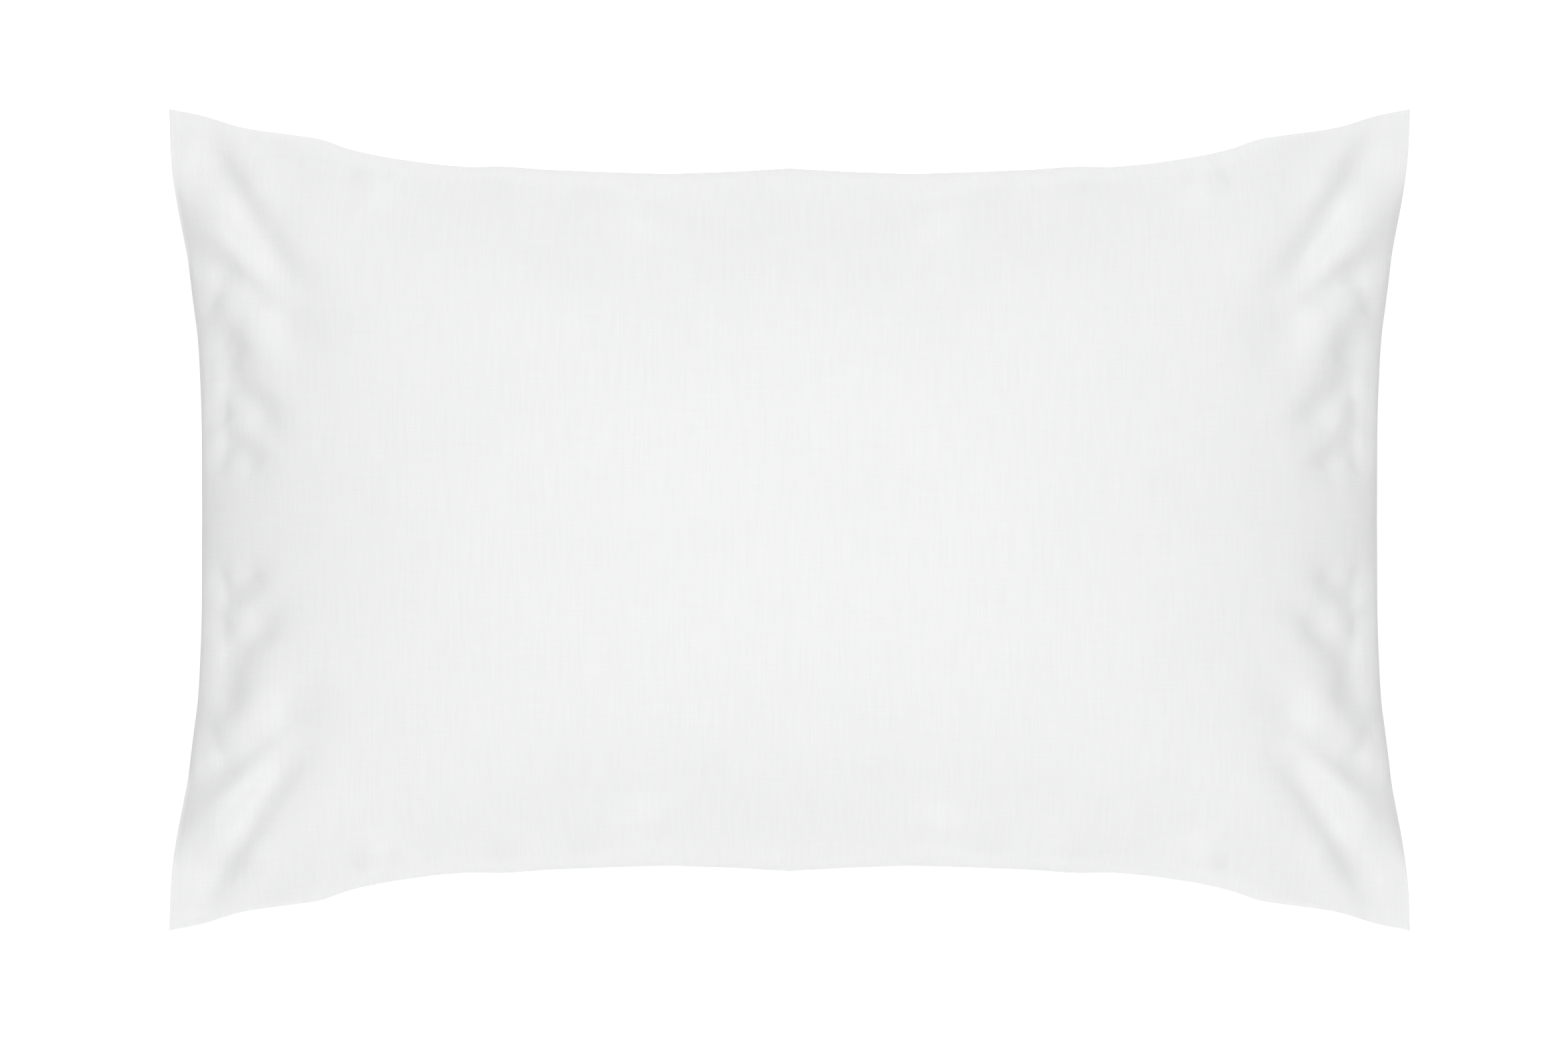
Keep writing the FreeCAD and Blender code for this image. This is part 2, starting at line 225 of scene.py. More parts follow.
def pairs(count, reach):
    """Start indices of links that long, in batches that share no point."""
    starts = np.arange(count + 1 - reach)
    return [starts[(starts // reach) % 2 == turn] for turn in (0, 1) if np.any((starts // reach) % 2 == turn)]


def pull(points, free, a, b, rest, taut, slack):
    """Moves linked points towards their rest length, with one strength when stretched and another when pressed."""
    d = points[b] - points[a]
    long = np.sqrt((d * d).sum(-1)) + 1e-9
    off = (long - rest) / long
    off = off * np.where(off > 0, taut, slack) / np.maximum(free[a] + free[b], 1e-9)
    points[a] += (off * free[a])[..., None] * d
    points[b] -= (off * free[b])[..., None] * d


def links(rest, extra, stiff):
    """Every link of the grid as (points, points, rest length, taut, slack), as long as on the surface at rest.

    extra is the share by which the cloth is longer than that surface, along and across.
    """
    n, m = rest.shape[0] - 1, rest.shape[1] - 1
    kinds = []
    for turn in (0, 1):
        kinds.append((np.s_[turn:n:2, :], np.s_[turn + 1:n + 1:2, :], 0, 1.0, stiff["press"]))
        kinds.append((np.s_[:, turn:m:2], np.s_[:, turn + 1:m + 1:2], 1, 1.0, stiff["press"]))
    for turn in (0, 1):
        one, two = np.s_[turn:n:2], np.s_[turn + 1:n + 1:2]
        kinds.append(((one, np.s_[0:m]), (two, np.s_[1:m + 1]), 2, stiff["shear"], stiff["shear"]))
        kinds.append(((one, np.s_[1:m + 1]), (two, np.s_[0:m]), 2, stiff["shear"], stiff["shear"]))
    for reach in (2, 6):
        for starts in pairs(n, reach):
            kinds.append(((starts,), (starts + reach,), 0, 0.0, stiff["bend"]))
        for starts in pairs(m, reach):
            kinds.append(((slice(None), starts), (slice(None), starts + reach), 1, 0.0, stiff["bend"]))
    made = []
    for a, b, way, taut, slack in kinds:
        long = np.linalg.norm(rest[b] - rest[a], axis=-1)
        more = extra.mean(-1) if way == 2 else extra[..., way]
        made.append((a, b, long * (1 + (more[a] + more[b]) / 2), taut, slack))
    return made


def settle(panel, points, rest, held, steps, fold, inner=4, push=0.02, damp=0.97):
    """Position-based cloth: the filling presses the panel towards its shape while the threads hold their length."""
    n, m = points.shape[0] - 1, points.shape[1] - 1
    free = np.ones((n + 1, m + 1))
    free[-1], free[:, -1] = 0, 0
    moving = np.zeros_like(points)
    edges = points[-1].copy(), points[:, -1].copy()
    for step in range(steps):
        normal = np.cross(np.gradient(points, axis=0), np.gradient(points, axis=1))
        normal /= np.linalg.norm(normal, axis=-1, keepdims=True) + 1e-9
        if step % 10 == 0:
            raised = fold * gathers(points[..., 0], points[..., 1], panel.folds)
            least = panel.lowest(points)
        short = ((rest - points) * normal).sum(-1)
        out = np.clip(short, -2.5, 12) * push + raised
        before = points.copy()
        moving = (moving + normal * out[..., None]) * damp
        points = points + moving * free[..., None]
        for _ in range(inner):
            for a, b, long, taut, slack in held:
                pull(points, free, a, b, long, taut, slack)
            points[0, :, 0], points[:, 0, 1] = 0, 0
            points[-1], points[:, -1] = edges
            high = np.maximum(points[..., 2], least)
            if panel.floor is not None:
                high = np.minimum(high, panel.floor)
            points[..., 2] = np.where(free > 0, high, points[..., 2])
        moving = points - before
    return points


def refine(points):
    """The same surface with cells half as long."""
    n, m = points.shape[0] - 1, points.shape[1] - 1
    out = np.zeros((2 * n + 1, 2 * m + 1, 3))
    out[::2, ::2] = points
    out[1::2, ::2] = (points[1:] + points[:-1]) / 2
    out[:, 1::2] = (out[:, 2::2] + out[:, :-2:2]) / 2
    return out


def drape(panel, levels=((60, 40, 200, 0.10), (120, 80, 200, 0.08))):
    """Settles the panel's cloth: each level is (cells along, cells across, steps, how hard the folds are guided).

    Towards the short ends there is a little more cloth than the filling needs, and it gathers.
    """
    stiff = {"press": 0.08, "shear": 0.1, "bend": 0.35}
    points = None
    for n, m, steps, fold in levels:
        rest = panel.filled(n, m)
        points = rest.copy() if points is None else panel.seam(refine(points))
        near_end = ease((rest[..., 0] - 225) / 90)
        held = links(rest, np.stack([0.3 * panel.gather * near_end, panel.gather * near_end], -1), stiff)
        points = settle(panel, points, rest, held, steps, fold)
    return crease(panel, points)


def crease(panel, points):
    """Deepens the gathers a little along the cloth's normals, and takes the grid's own ripple out."""
    for _ in range(2):
        inner = points[1:-1, 1:-1]
        mean = (points[:-2, 1:-1] + points[2:, 1:-1] + points[1:-1, :-2] + points[1:-1, 2:]) / 4
        inner += 0.5 * (mean - inner)
    normal = np.cross(np.gradient(points, axis=0), np.gradient(points, axis=1))
    normal /= np.linalg.norm(normal, axis=-1, keepdims=True) + 1e-9
    end, side = panel.insets(points)
    depth = panel.crease * gathers(points[..., 0], points[..., 1], panel.folds) * ease(np.minimum(end, side) / 14)
    points = points + normal * depth[..., None]
    points[0, :, 0], points[:, 0, 1] = 0, 0
    if panel.floor is not None:
        points[..., 2] = np.minimum(points[..., 2], panel.floor)
    points[1:-1, 1:-1, 2] = np.maximum(points[..., 2], panel.lowest(points))[1:-1, 1:-1]
    if panel.bulge:
        points[:, -1, 1] -= SEAM_PINCH * ease((BULGE_END[0] - points[:, -1, 0]) / BULGE_END[1])
    return points


def whole(quarter, up=1):
    """The four mirrored quarters as one grid, at its height over the floor. up is -1 for a lower panel."""
    half = np.concatenate([quarter[:0:-1] * (-1, 1, 1), quarter])
    grid = np.concatenate([half[:, :0:-1] * (1, -1, 1), half], axis=1)
    grid[..., 2] = SEAM_HEIGHT + up * (grid[..., 2] + SEAM_HALF_GAP)
    return grid


class Relief:
    """The height of a grid's surface as a function of the plan, from a raster of one quarter."""

    CELL = 2.0
    REACH = (372, 248)

    def __init__(self, grid, lowest):
        n, m = (grid.shape[0] + 1) // 2, (grid.shape[1] + 1) // 2
        points = grid[n - 1:, m - 1:]
        for _ in range(2):
            points = refine(points)
        size = tuple(int(reach / self.CELL) + 2 for reach in self.REACH)
        at = np.rint(points[..., :2] / self.CELL).astype(int).clip(0, (size[0] - 1, size[1] - 1))
        pick = np.minimum if lowest else np.maximum
        empty = 1e9 if lowest else -1e9
        self.map = np.full(size, empty)
        pick.at(self.map, (at[..., 0], at[..., 1]), points[..., 2])
        self.map[self.map == empty] = SEAM_HEIGHT

    def __call__(self, x, y):
        u = np.clip(np.abs(x) / self.CELL, 0, self.map.shape[0] - 1.001)
        v = np.clip(np.abs(y) / self.CELL, 0, self.map.shape[1] - 1.001)
        i, j = u.astype(int), v.astype(int)
        u, v = u - i, v - j
        return ((self.map[i, j] * (1 - u) + self.map[i + 1, j] * u) * (1 - v)
                + (self.map[i, j + 1] * (1 - u) + self.map[i + 1, j + 1] * u) * v)


# ---- meshes ----------------------------------------------------------------------------------------------------

def make(name, points, faces, material, body, stands_for, slot, flat=None):
    """One piece from its points in millimetres, riding on its body. flat gives the cloth's own coordinates."""
    mesh = bpy.data.meshes.new(name)
    points = np.asarray(points, float).reshape(-1, 3)
    mesh.from_pydata((points * MM).tolist(), [], [list(map(int, f)) for f in faces])
    mesh.polygons.foreach_set("use_smooth", [True] * len(mesh.polygons))
    if flat is None:
        flat = points
    own = mesh.attributes.new("cloth", "FLOAT_VECTOR", "POINT")
    own.data.foreach_set("vector", (np.asarray(flat, float).reshape(-1, 3) * MM).astype(np.float32).ravel())
    mesh.materials.append(material)
    mesh.update()
    piece = bpy.data.objects.new(name, mesh)
    bpy.context.scene.collection.objects.link(piece)
    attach(piece, body)
    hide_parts(*stands_for)
    if body == "case":
        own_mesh(piece)
    return piece


def quads(n, m, start=0, flip=False):
    """The faces of a grid of n by m points."""
    i, j = np.meshgrid(np.arange(n - 1), np.arange(m - 1), indexing="ij")
    a = (i * m + j).ravel() + start
    faces = np.stack([a, a + m, a + m + 1, a + 1], -1)
    return faces[:, ::-1] if flip else faces


def rim(n, m):
    """The indices round a grid's edge."""
    return np.r_[np.arange(n) * m, (n - 1) * m + np.arange(1, m), (np.arange(n - 2, -1, -1)) * m + m - 1,
                 np.arange(m - 2, 0, -1)]


def seamed_panel(name, grid, up, cut, unseamed, *rest):
    """A panel with its seam allowances turned in flat. unseamed is the end, -1 or 1, that has no seam."""
    n, m = grid.shape[:2]
    points = [grid.reshape(-1, 3)]
    s, t = np.meshgrid(np.linspace(-cut[0], cut[0], n), np.linspace(-cut[1], cut[1], m), indexing="ij")
    flat = [np.stack([s, t, np.zeros_like(s)], -1).reshape(-1, 3)]
    faces = [quads(n, m, 0, up < 0)]
    last = rim(n, m)
    edge, flat_edge, total = points[0][last], flat[0][last], n * m
    for inset in (SEAM_LINE, 5.0, ALLOWANCE):
        back = inset_line(edge, inset, cut, unseamed)
        now = total + np.arange(len(last))
        faces.append(np.stack([last, now, np.roll(now, -1), np.roll(last, -1)], -1)[:, ::up])
        points.append(back)
        flat.append(flat_edge * (1 + inset / cut[0], 1 + inset / cut[1], 1))
        last, total = now, total + len(last)
    piece = make(name, np.concatenate(points), np.concatenate(faces), *rest, flat=np.concatenate(flat))
    piece.data.set_sharp_from_angle(angle=math.radians(60))
    return piece


def inset_line(edge, inset, cut, unseamed=0):
    """A seam line, that far further in."""
    along_x = np.where(edge[:, 0] * unseamed > 0, 0.6 * inset / ALLOWANCE, inset)
    line = edge * np.stack([1 - along_x / cut[0], np.full(len(edge), 1 - inset / cut[1]), np.ones(len(edge))], -1)
    if cut == CUT:  # only the case's corners hang
        line[:, 2] += EAR_DROP * (ear(edge[:, 0], edge[:, 1]) - ear(line[:, 0], line[:, 1]))
    return line


def tube(line, radius, sides=6, start=0):
    """Points and faces of a closed tube with rounded ends along a line."""
    line = np.asarray(line, float)
    run = np.gradient(line, axis=0)
    run /= np.linalg.norm(run, axis=1, keepdims=True) + 1e-12
    across = np.cross(run, (0.12, 0.07, 0.99))
    across /= np.linalg.norm(across, axis=1, keepdims=True) + 1e-12
    up = np.cross(across, run)
    wide = np.full(len(line), radius)
    wide[[0, -1]] = radius * 0.45
    turn = np.arange(sides) * 2 * math.pi / sides
    points = (line[:, None] + wide[:, None, None]
              * (np.cos(turn)[None, :, None] * across[:, None] + np.sin(turn)[None, :, None] * up[:, None]))
    k = np.arange(len(line) - 1)[:, None] * sides + np.arange(sides)[None]
    nxt = np.arange(len(line) - 1)[:, None] * sides + (np.arange(sides)[None] + 1) % sides
    faces = [list(f) for f in (np.stack([k, nxt, nxt + sides, k + sides], -1).reshape(-1, 4) + start)]
    faces.append(list(start + np.arange(sides))[::-1])
    faces.append(list(start + (len(line) - 1) * sides + np.arange(sides)))
    return points.reshape(-1, 3), faces


def threads(name, lines, *rest, radius=THREAD):
    """Many separate threads as one piece."""
    points, faces, total = [], [], 0
    for line in lines:
        p, f = tube(line, radius, start=total)
        points.append(p)
        faces += f
        total += len(p)
    return make(name, np.concatenate(points), faces, *rest)


def walk(line, step):
    """Points at even steps along a line."""
    line = np.asarray(line, float)
    at = np.r_[0, np.cumsum(np.linalg.norm(np.diff(line, axis=0), axis=1))]
    want = np.arange(0, at[-1], step)
    return np.stack([np.interp(want, at, line[:, k]) for k in range(3)], -1)


def stitches(line, lift=(0, 0, 1), radius=THREAD):
    """A row of lockstitches: each is a short thread whose ends dip into the cloth."""
    per_mm = 10
    fine = walk(line, 1 / per_mm)
    made = []
    for k in range(0, len(fine) - int(STITCH * per_mm), int(STITCH_PITCH * per_mm)):
        part = fine[k:k + int(STITCH * per_mm) + 1:4].copy()
        dip = np.abs(np.linspace(-1, 1, len(part))) ** 3
        made.append(part + np.outer(-dip * 1.3 * radius, lift))
    return made


def overlock(line, inward, width=1.6, depth=0.4, pitch=2.4):
    """The looped thread that wraps a raw edge, as one long zigzag."""
    fine = walk(line, pitch / 8)
    turn = np.arange(len(fine)) * 2 * math.pi / 8
    return [fine + np.outer(np.cos(turn) * width / 2, inward) + np.outer(np.sin(turn) * depth, (0, 0, 1))]


def side_line(grid, side, inset, cut, height):
    """One side's seam line, that far in and that high off its plane."""
    n, m = grid.shape[:2]
    k = {"front": grid[:, 0], "rear": grid[:, -1], "open_end": grid[0], "closed_end": grid[-1]}[side]
    line = inset_line(k, inset, cut) + (0, 0, height)
    cutoff = int(round((1 - SEAM_SPAN) / 2 * len(line)))
    return line[cutoff:len(line) - cutoff]


INWARD = {"front": (0, 1, 0), "rear": (0, -1, 0), "open_end": (1, 0, 0), "closed_end": (-1, 0, 0)}


def seam_threads(name, sides, grid, cut, material, body, slot):
    """Along each sewn side, the lockstitches on both sides of the turned-in cloth and the overlocked edges."""
    for side in sides:
        rows = []
        for up in (1, -1):
            line = side_line(grid, side, SEAM_LINE, cut, up * (SEAM_HALF_GAP + THREAD) - SEAM_HALF_GAP)
            rows += stitches(line, (0, 0, up))
        threads(f"{name}_{side}_seam_stitches", rows, material, body, [f"{name}_{side}_seam_stitching"], slot)
        edge = side_line(grid, side, ALLOWANCE + 0.2, cut, -SEAM_HALF_GAP)
        threads(f"{name}_{side}_overlock", overlock(edge, INWARD[side]), material, body,
                [f"{name}_{side}_overlock_thread"], slot)


# ---- materials -------------------------------------------------------------------------------------------------

class Nodes:
    """A material's node tree, with short ways to add to it."""

    def __init__(self, name):
        self.material = bpy.data.materials.new(name)
        self.material.use_nodes = True
        self.tree = self.material.node_tree
        self.shader = self.tree.nodes["Principled BSDF"]

    def add(self, kind, inputs=(), **settings):
        node = self.tree.nodes.new(kind)
        for key, value in settings.items():
            setattr(node, key, value)
        for key, value in dict(inputs).items():
            if isinstance(value, bpy.types.NodeSocket):
                self.tree.links.new(value, node.inputs[key])
            else:
                node.inputs[key].default_value = value
        return node

    def math(self, operation, a, b=0.0, c=0.0):
        return self.add("ShaderNodeMath", {0: a, 1: b, 2: c}, operation=operation).outputs[0]

    def noise(self, vector, scale, stretch=(1, 1, 1), detail=2.0, roughness=0.5):
        mapped = self.add("ShaderNodeMapping", {"Vector": vector, "Scale": stretch}).outputs[0]
        return self.add("ShaderNodeTexNoise", {"Vector": mapped, "Scale": scale, "Detail": detail,
                                               "Roughness": roughness}).outputs[0]

    def between(self, share, low, high):
        """A colour between two, by a share from 0 to 1."""
        mixed = self.add("ShaderNodeMix", {0: share, 6: (*low, 1), 7: (*high, 1)}, data_type="RGBA")
        return mixed.outputs[2]

    def ramp(self, value, low, high, start=0.0, end=1.0):
        return self.add("ShaderNodeMapRange", {"Value": value, "From Min": low, "From Max": high, "To Min": start,
                                               "To Max": end}).outputs[0]

    def bump(self, height, distance, strength=1.0, under=None):
        inputs = {"Height": height, "Distance": distance, "Strength": strength}
        if under:
            inputs["Normal"] = under
        return self.add("ShaderNodeBump", inputs).outputs[0]

    def plug(self, socket, value):
        self.tree.links.new(value, self.shader.inputs[socket])

    def plain(self, **values):
        for socket, value in values.items():
            self.shader.inputs[socket.replace("_", " ")].default_value = value


def woven(name, pitch, colours, rough, slub=1.0, stripe=None, sheen=0.12):
    """Plain-woven cloth whose threads follow the cloth's own coordinates."""
    n = Nodes(name)
    own = n.add("ShaderNodeAttribute", attribute_name="cloth").outputs["Vector"]
    parts = n.add("ShaderNodeSeparateXYZ", {0: own}).outputs
    wobble = n.noise(own, 260.0, detail=1.0)
    sines = []
    for k in (0, 1):
        bent = n.math("MULTIPLY_ADD", wobble, pitch * 0.5, parts[k])
        sines.append(n.math("SINE", n.math("MULTIPLY", bent, math.pi / pitch)))
    over = n.math("MULTIPLY_ADD", n.math("MULTIPLY", *sines), 0.5, 0.5)
    under = n.math("SUBTRACT", 1.0, over)
    weave = n.math("MULTIPLY", n.math("ABSOLUTE", sines[0]), over)
    weave = n.math("MULTIPLY_ADD", n.math("ABSOLUTE", sines[1]), under, weave)
    warp = n.noise(own, 1.0, (650, 30, 1), detail=3.0, roughness=0.6)
    weft = n.noise(own, 1.0, (30, 1000, 1), detail=3.0, roughness=0.6)
    slubs = n.math("MULTIPLY_ADD", n.math("MULTIPLY", weft, 0.35), slub, n.math("MULTIPLY", warp, 0.65 * slub))
    cloud = n.noise(own, 14.0, detail=3.0)
    tone = n.math("MULTIPLY_ADD", slubs, 0.65, n.math("MULTIPLY_ADD", weave, 0.2, n.math("MULTIPLY", cloud, 0.15)))
    colour = n.between(n.ramp(tone, 0.3, 0.7), *colours)
    if stripe:
        width, tint = stripe
        wave = n.math("SINE", n.math("MULTIPLY", parts[0], 2 * math.pi / width))
        band = n.ramp(wave, 0.93, 0.97)
        colour = n.add("ShaderNodeMix", {0: band, 6: colour, 7: (*tint, 1)}, data_type="RGBA").outputs[2]
    n.plug("Base Color", colour)
    n.plug("Roughness", n.ramp(slubs, 0.3, 0.7, rough - 0.05, rough + 0.05))
    crumple = n.bump(n.noise(own, 55.0, detail=3.0, roughness=0.55), 0.00022)
    slubby = n.bump(slubs, 0.00007, under=crumple)
    n.plug("Normal", n.bump(weave, 0.00006, under=slubby))
    n.plain(Sheen_Weight=sheen, Sheen_Roughness=0.45, Specular_IOR_Level=0.22)
    return n.material


def spun(name, colours, rough=0.62):
    """Twisted sewing thread."""
    n = Nodes(name)
    where = n.add("ShaderNodeTexCoord").outputs["Object"]
    twist = n.add("ShaderNodeTexWave", {"Vector": where, "Scale": 900.0, "Distortion": 1.5, "Detail": 2.0},
                  bands_direction="DIAGONAL").outputs[1]
    fuzz = n.noise(where, 5200.0, detail=3.0)
    n.plug("Base Color", n.between(n.math("MULTIPLY_ADD", twist, 0.6, n.math("MULTIPLY", fuzz, 0.4)), *colours))
    n.plug("Roughness", n.ramp(fuzz, 0.3, 0.7, rough - 0.06, rough + 0.06))
    n.plug("Normal", n.bump(twist, 0.00005, under=n.bump(fuzz, 0.00002)))
    n.plain(Sheen_Weight=0.25, Sheen_Roughness=0.4, Specular_IOR_Level=0.35)
    return n.material


def fluffy(name, colours):
    """Carded hollow fibre: fine crossing strands over soft clumps."""
    n = Nodes(name)
    where = n.add("ShaderNodeTexCoord").outputs["Object"]
    bend = n.add("ShaderNodeTexNoise", {"Vector": where, "Scale": 18.0, "Detail": 2.0}).outputs[1]
    lain = n.add("ShaderNodeMix", {0: 0.03, 4: where, 5: bend}, data_type="VECTOR").outputs[1]
    one = n.noise(lain, 1.0, (900, 40, 300), detail=4.0, roughness=0.65)
    two = n.noise(lain, 1.0, (60, 800, 260), detail=4.0, roughness=0.65)
    clump = n.noise(where, 38.0, detail=3.0)
    strands = n.math("MAXIMUM", one, two)
    n.plug("Base Color", n.between(n.math("MULTIPLY_ADD", strands, 0.6, n.math("MULTIPLY", clump, 0.4)), *colours))
    n.plug("Roughness", n.ramp(clump, 0.3, 0.7, 0.8, 0.95))
    n.plug("Normal", n.bump(strands, 0.0005, under=n.bump(clump, 0.004)))
    n.plain(Sheen_Weight=0.5, Sheen_Roughness=0.6, Specular_IOR_Level=0.2)
    return n.material


PERCALE = woven("cotton_percale", 0.00048, ((0.775, 0.777, 0.780), (0.835, 0.836, 0.838)), 0.82)
TICKING = woven("cotton_ticking", 0.00062, ((0.73, 0.725, 0.71), (0.81, 0.805, 0.79)), 0.80, 1.2, sheen=0.10)
TAPE = woven("label_tape", 0.00040, ((0.78, 0.78, 0.78), (0.88, 0.88, 0.875)), 0.55, 0.6, sheen=0.3)
CASE_THREAD = spun("sewing_thread", ((0.74, 0.74, 0.74), (0.86, 0.86, 0.86)))
TICKING_THREAD = spun("ticking_thread", ((0.70, 0.69, 0.67), (0.82, 0.81, 0.79)))
FIBRE = fluffy("hollow_fibre", ((0.76, 0.76, 0.755), (0.90, 0.90, 0.90)))

# ---- the case --------------------------------------------------------------------------------------------------

case_top = Panel(SIDE, END, (TOP_RISE, 2.3, 0.66, 2.3, 0.56), FOLDS, bulge=3.0, hang=-EAR_DROP, loft=8.5,
                 gather=0.005, crease=2.0)
case_bottom = Panel(SIDE, END, (BOTTOM_DROP, 2.6, 0.60, 2.4, 0.52), FOLDS[:9], bulge=11.5, hang=EAR_DROP,
                    floor=SEAM_HEIGHT - 0.3, loft=4.0, gather=0.005, crease=1.5)
face, back = whole(drape(case_top)), whole(drape(case_bottom), -1)
ceiling, ground = Relief(face, True), Relief(back, False)

face_cloth = seamed_panel("face_panel_cloth", face, 1, CUT, -1, PERCALE, "case", ["case_face_panel"],
                          "cotton_percale")
back_cloth = seamed_panel("back_panel_cloth", back, -1, CUT, -1, PERCALE, "case", ["case_back_panel"],
                          "cotton_percale")
CASE_SIDES = ("front", "rear", "closed_end")
seam_threads("case", CASE_SIDES, face, CUT, CASE_THREAD, "case", "sewing_thread")


def inner_sheet(name, xs, half, lift, material, stands_for, slot, steps, centre=0.0):
    """A sheet lying inside on the lower cloth, over a range of x. half is a share of the case's half width there, or
    a length in millimetres where it is over 1.
    """
    x = np.linspace(*xs, steps[0])[:, None] * np.ones(steps[1])
    v = np.linspace(-1, 1, steps[1])[None] * np.ones((steps[0], 1))
    wide = np.interp(np.abs(x), *np.array(SIDE, float).T)
    y = centre + v * (wide * half if half < 1 else half)
    low, high = ground(x, y), ceiling(x, y)
    z = low + np.minimum(lift, (high - low) * lift / FULL_LIFT_ROOM)
    points = np.stack([x, y, z], -1)
    return make(name, points, quads(*steps), material, "case", stands_for, slot,
                flat=np.stack([x, y, np.zeros_like(x)], -1))


open_end = -END[0][0]
hem = inner_sheet("opening_hem_cloth", (open_end + 4, open_end + 22), 0.93, 0.9, PERCALE, ["case_opening_hem"],
                  "cotton_percale", (9, 161))
flap = inner_sheet("tuck_flap_cloth", (open_end + 4, open_end + 180), 0.93, 1.9, PERCALE, ["case_tuck_flap"],
                   "cotton_percale", (57, 161))
flap_hem = inner_sheet("flap_hem_cloth", (open_end + 170, open_end + 180), 0.93, 2.5, PERCALE, ["case_flap_hem"],
                       "cotton_percale", (5, 161))
care = inner_sheet("case_care_label_tape", (-151, -122), 22.5, 0.9, TAPE, ["case_care_label"], "label_tape",
                   (17, 29), -170.0)


def row_under(x, lift, half):
    """A line across the lower cloth at one x."""
    y = np.linspace(-half, half, 800)
    xs = np.full_like(y, x)
    return np.stack([xs, y, ground(xs, y) + lift], -1)


threads("opening_hem_stitches", stitches(row_under(open_end + 20, -0.15, 186), (0, 0, -1), 0.25), CASE_THREAD, "case",
        ["case_opening_hem_stitching"], "sewing_thread", radius=0.25)
threads("flap_hem_stitches", stitches(row_under(open_end + 172, 2.8, 186), (0, 0, 1), 0.2), CASE_THREAD, "case",
        ["case_flap_hem_stitching"], "sewing_thread", radius=0.2)


def bar_tack(side):
    """A dense satin bar: many short threads side by side."""
    made = []
    for k in range(20):
        x = open_end + 5 + 0.4 * k
        y = side * np.linspace(190, 193, 7)
        xs = np.full_like(y, x)
        z = ground(xs, np.abs(y)) - 0.3
        made.append(np.stack([xs, y, z], -1))
    return made


threads("bar_tack_threads", bar_tack(-1) + bar_tack(1), CASE_THREAD, "case", ["case_bar_tacks"], "sewing_thread",
        radius=0.24)

# ---- the insert ------------------------------------------------------------------------------------------------

tick_top = Panel(TICKING_SIDE, TICKING_END, (TICKING_RISE, 2.5, 0.62, 2.4, 0.55), loft=0.6, gather=0.003)
tick_bottom = Panel(TICKING_SIDE, TICKING_END, (86.0, 2.6, 0.60, 2.4, 0.52), floor=67.0, loft=0.6, gather=0.003)
COARSE = ((60, 40, 120, 0.0), (120, 80, 80, 0.0))
upper, lower = whole(drape(tick_top, COARSE)), whole(drape(tick_bottom, COARSE), -1)
for grid, side, limit in ((upper, 1, ceiling), (lower, -1, ground)):
    inner = grid[1:-1, 1:-1]
    room = limit(inner[..., 0], inner[..., 1]) - side * (CLEARANCE + (FLAP_ROOM if side < 0 else 0))
    inner[..., 2] = np.minimum(inner[..., 2], room) if side > 0 else np.maximum(inner[..., 2], room)
    inner[..., 2] = side * np.maximum(side * inner[..., 2], side * SEAM_HEIGHT + 0.8)

TICKING_SIDES = ("front", "rear", "open_end")
top_ticking = seamed_panel("top_ticking_cloth", upper, 1, TICKING_CUT, 1, TICKING, "insert", ["ticking_top_panel"],
                           "cotton_ticking")
bottom_ticking = seamed_panel("bottom_ticking_cloth", lower, -1, TICKING_CUT, 1, TICKING, "insert",
                              ["ticking_bottom_panel"], "cotton_ticking")
seam_threads("ticking", TICKING_SIDES, upper, TICKING_CUT, TICKING_THREAD, "insert", "ticking_thread")


def closing_edge():
    """The filling port's two edges, folded outward together and pinched a little by each stitch."""
    edge = upper[-1][8:-8] * (1, 1, 0) + (0, 0, SEAM_HEIGHT)
    edge = walk(edge, 1.0)
    outs = np.array([0.0, 1.4, 2.9, 3.8, 4.0, 3.8, 2.9, 1.4, 0.0])
    ups = np.array([0.75, 0.7, 0.7, 0.45, 0.0, -0.45, -0.7, -0.7, -0.75])
    pinch = 1 - 0.25 * np.cos(np.arange(len(edge)) * 2 * math.pi / STITCH_PITCH) ** 2
    points = edge[:, None] + np.stack([np.tile(outs, (len(edge), 1)), np.zeros((len(edge), len(outs))),
                                       pinch[:, None] * ups], -1)
    return points


folded = closing_edge()
port = make("closing_edge_cloth", folded, quads(*folded.shape[:2]), TICKING, "insert", ["ticking_closing_edge"],
            "cotton_ticking", flat=folded)
threads("closing_stitches", stitches(walk(folded[:, 1] + (0, 0, 0.15), 0.5), (0, 0, 1), 0.22), TICKING_THREAD,
        "insert", ["ticking_closing_stitching"], "ticking_thread", radius=0.22)


def insert_label():
    """The blank tape in the insert's end seam, lying against its underside."""
    x = np.linspace(-329, -279, 21)[:, None] * np.ones(13)
    y = np.linspace(-15, 15, 13)[None] * np.ones((21, 1))
    under = Relief(lower, False)
    z = under(x, y) - 0.7 * ease((x + 331) / 8)
    return np.stack([x, y, z], -1)


label = insert_label()
tape = make("insert_care_label_tape", label, quads(*label.shape[:2]), TAPE, "insert", ["insert_care_label"],
            "label_tape", flat=label)

BATTS = ("bottom", "lower", "middle", "upper", "top")
FILL = (7.8, 169.8)


